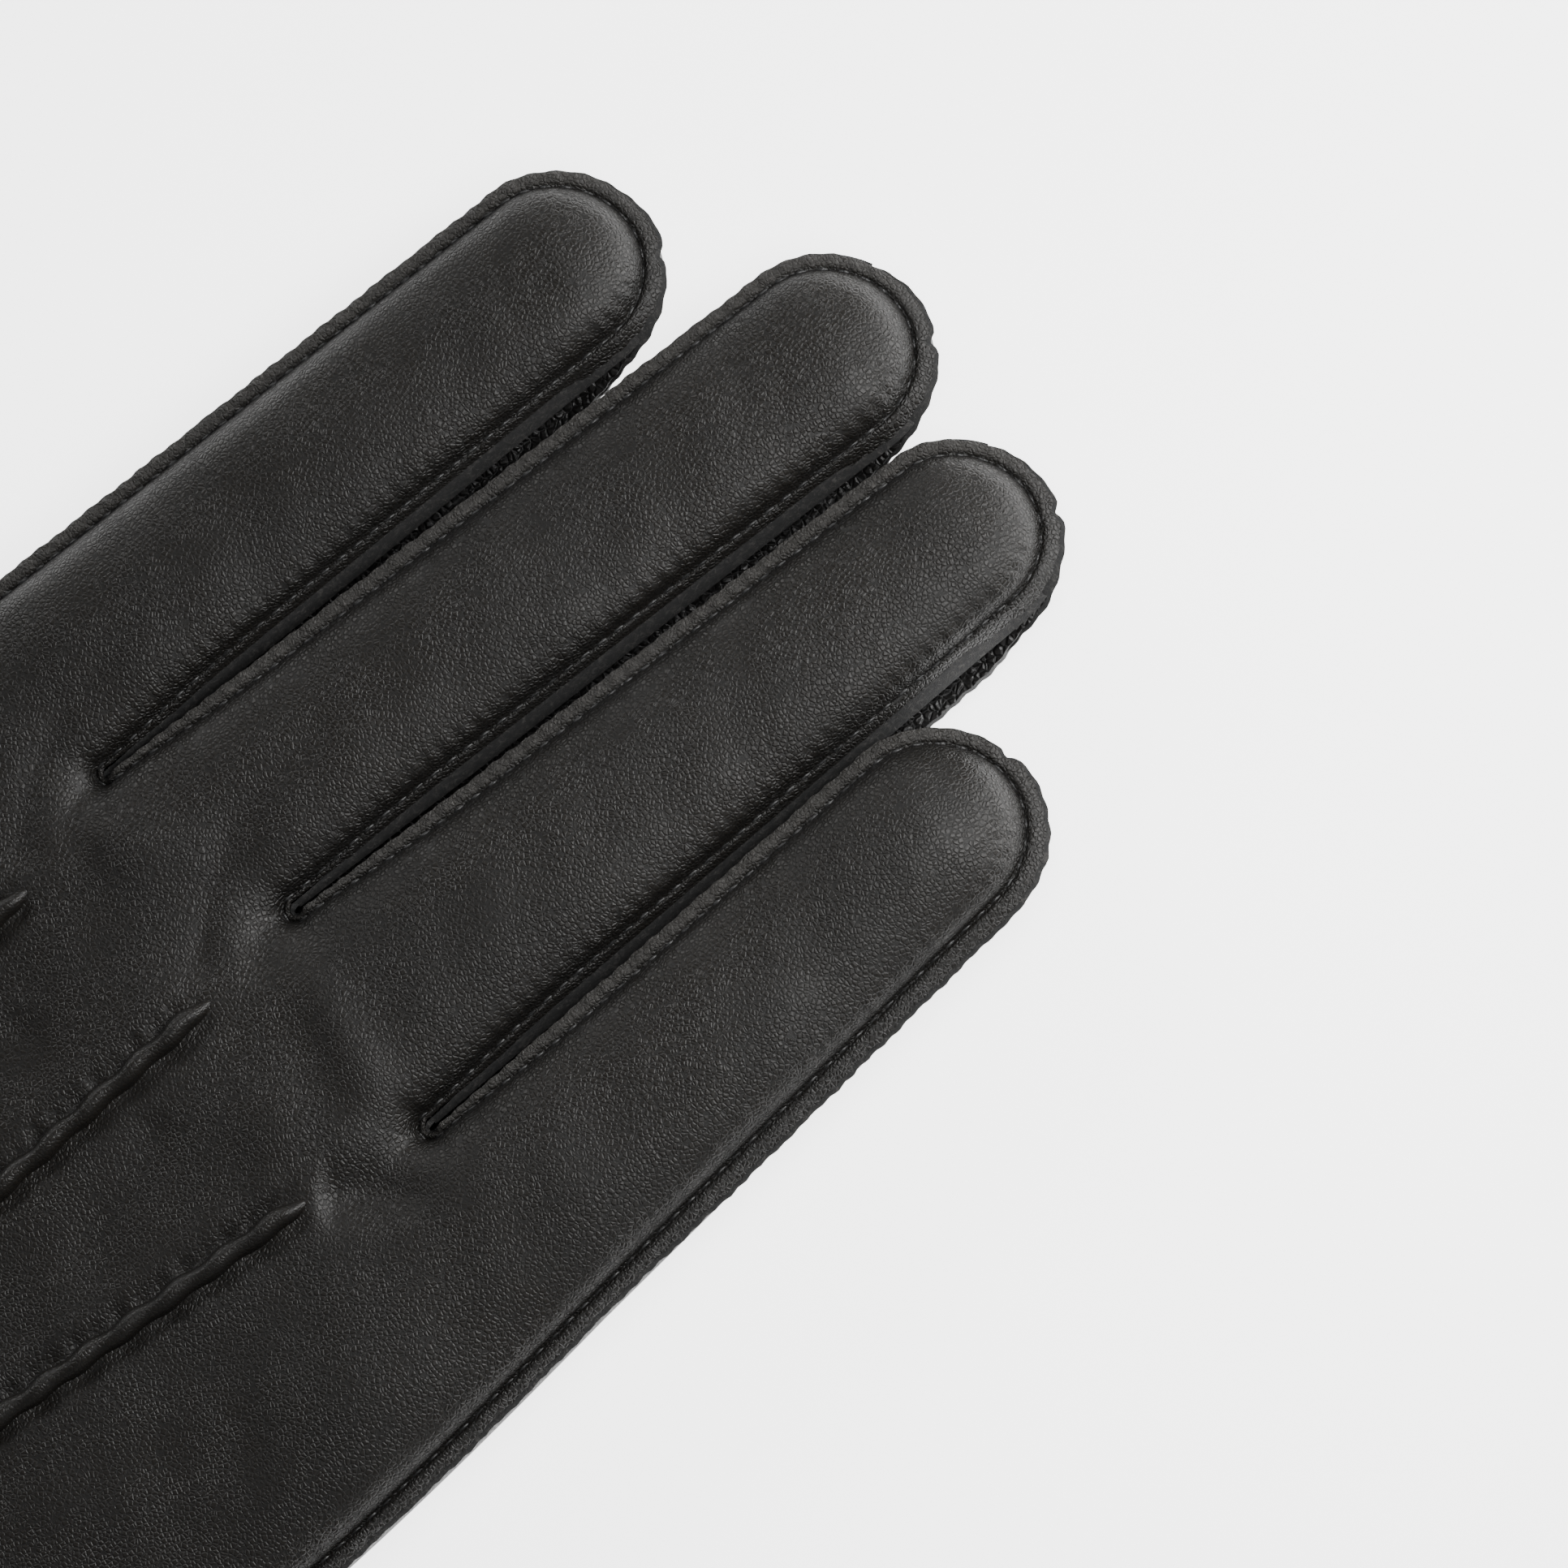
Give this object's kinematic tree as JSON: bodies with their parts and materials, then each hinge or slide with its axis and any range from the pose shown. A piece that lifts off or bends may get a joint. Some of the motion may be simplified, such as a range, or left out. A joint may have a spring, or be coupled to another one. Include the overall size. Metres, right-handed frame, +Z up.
{
  "type": "leather glove",
  "caption": "Right-hand lined dress glove in black leather with outside seams and sewn points on the back; every digit bends at two creases.",
  "frame": {"origin": "the middle of the palm, on the flat underside that the glove lies on", "axes": "+Y from the cuff to the fingertips, +X towards the little finger, +Z up through the back of the hand"},
  "size_m": [0.1405, 0.242, 0.013],
  "materials": {
    "back_leather": "fine-grained black hair-sheep leather with a soft satin surface",
    "palm_leather": "the same black leather, a little smoother, with raw seam edges",
    "strip_leather": "black leather side strips with a coarser, shinier grain",
    "knit_lining": "dark rib-knit lining",
    "elastic": "flat covered elastic",
    "label": "plain woven label with no lettering"
  },
  "bodies": {
    "hand": {"back_panel": "back_leather", "palm_panel": "palm_leather", "point_index_side": "back_leather", "point_centre": "back_leather", "point_little_side": "back_leather", "crotch_index_middle": "strip_leather", "crotch_middle_ring": "strip_leather", "crotch_ring_little": "strip_leather", "thumb_socket_back": "back_leather", "thumb_socket_palm": "palm_leather", "hand_lining": "knit_lining", "cuff_hem": "back_leather", "wrist_elastic": "elastic", "size_label": "label"},
    "index_base": {"index_base_back": "back_leather", "index_base_palm": "palm_leather", "index_base_fourchette": "strip_leather", "index_base_lining": "knit_lining"},
    "index_tip": {"index_tip_back": "back_leather", "index_tip_palm": "palm_leather", "index_tip_fourchette": "strip_leather", "index_tip_lining": "knit_lining"},
    "middle_base": {"middle_base_back": "back_leather", "middle_base_palm": "palm_leather", "middle_base_fourchettes": "strip_leather", "middle_base_lining": "knit_lining"},
    "middle_tip": {"middle_tip_back": "back_leather", "middle_tip_palm": "palm_leather", "middle_tip_fourchettes": "strip_leather", "middle_tip_lining": "knit_lining"},
    "ring_base": {"ring_base_back": "back_leather", "ring_base_palm": "palm_leather", "ring_base_fourchettes": "strip_leather", "ring_base_lining": "knit_lining"},
    "ring_tip": {"ring_tip_back": "back_leather", "ring_tip_palm": "palm_leather", "ring_tip_fourchettes": "strip_leather", "ring_tip_lining": "knit_lining"},
    "little_base": {"little_base_back": "back_leather", "little_base_palm": "palm_leather", "little_base_fourchette": "strip_leather", "little_base_lining": "knit_lining"},
    "little_tip": {"little_tip_back": "back_leather", "little_tip_palm": "palm_leather", "little_tip_fourchette": "strip_leather", "little_tip_lining": "knit_lining"},
    "thumb_base": {"thumb_base_back": "back_leather", "thumb_base_palm": "palm_leather", "thumb_base_lining": "knit_lining"},
    "thumb_tip": {"thumb_tip_back": "back_leather", "thumb_tip_palm": "palm_leather", "thumb_tip_lining": "knit_lining"}
  },
  "joints": [
    {"name": "index_knuckle_crease", "type": "hinge", "parent": "hand", "child": "index_base", "pos_m": [-0.0349, 0.085, 0.0045], "axis": [-0.9999, 0.0105, 0], "range_deg": [-12, 70]},
    {"name": "index_joint_crease", "type": "hinge", "parent": "index_base", "child": "index_tip", "pos_m": [-0.03464, 0.10956, 0.0045], "axis": [-0.9999, 0.0105, 0], "range_deg": [-5, 85]},
    {"name": "middle_knuckle_crease", "type": "hinge", "parent": "hand", "child": "middle_base", "pos_m": [-0.01322, 0.089, 0.0045], "axis": [-0.9996, 0.0279, 0], "range_deg": [-12, 70]},
    {"name": "middle_joint_crease", "type": "hinge", "parent": "middle_base", "child": "middle_tip", "pos_m": [-0.01239, 0.11882, 0.0045], "axis": [-0.9996, 0.0279, 0], "range_deg": [-5, 85]},
    {"name": "ring_knuckle_crease", "type": "hinge", "parent": "hand", "child": "ring_base", "pos_m": [0.00965, 0.09, 0.0045], "axis": [-1, 0.0052, 0], "range_deg": [-12, 70]},
    {"name": "ring_joint_crease", "type": "hinge", "parent": "ring_base", "child": "ring_tip", "pos_m": [0.0098, 0.11864, 0.0045], "axis": [-1, 0.0052, 0], "range_deg": [-5, 85]},
    {"name": "little_knuckle_crease", "type": "hinge", "parent": "hand", "child": "little_base", "pos_m": [0.03354, 0.08698, 0.0045], "axis": [-0.9978, -0.0663, 0], "range_deg": [-12, 70]},
    {"name": "little_joint_crease", "type": "hinge", "parent": "little_base", "child": "little_tip", "pos_m": [0.03212, 0.10837, 0.0045], "axis": [-0.9978, -0.0663, 0], "range_deg": [-5, 85]},
    {"name": "thumb_lower_crease", "type": "hinge", "parent": "hand", "child": "thumb_base", "pos_m": [-0.06209, 0.0204, 0.0045], "axis": [-0.8192, -0.5736, 0], "range_deg": [0, 45]},
    {"name": "thumb_upper_crease", "type": "hinge", "parent": "thumb_base", "child": "thumb_tip", "pos_m": [-0.07414, 0.03761, 0.0045], "axis": [-0.8192, -0.5736, 0], "range_deg": [-5, 60]}
  ]
}
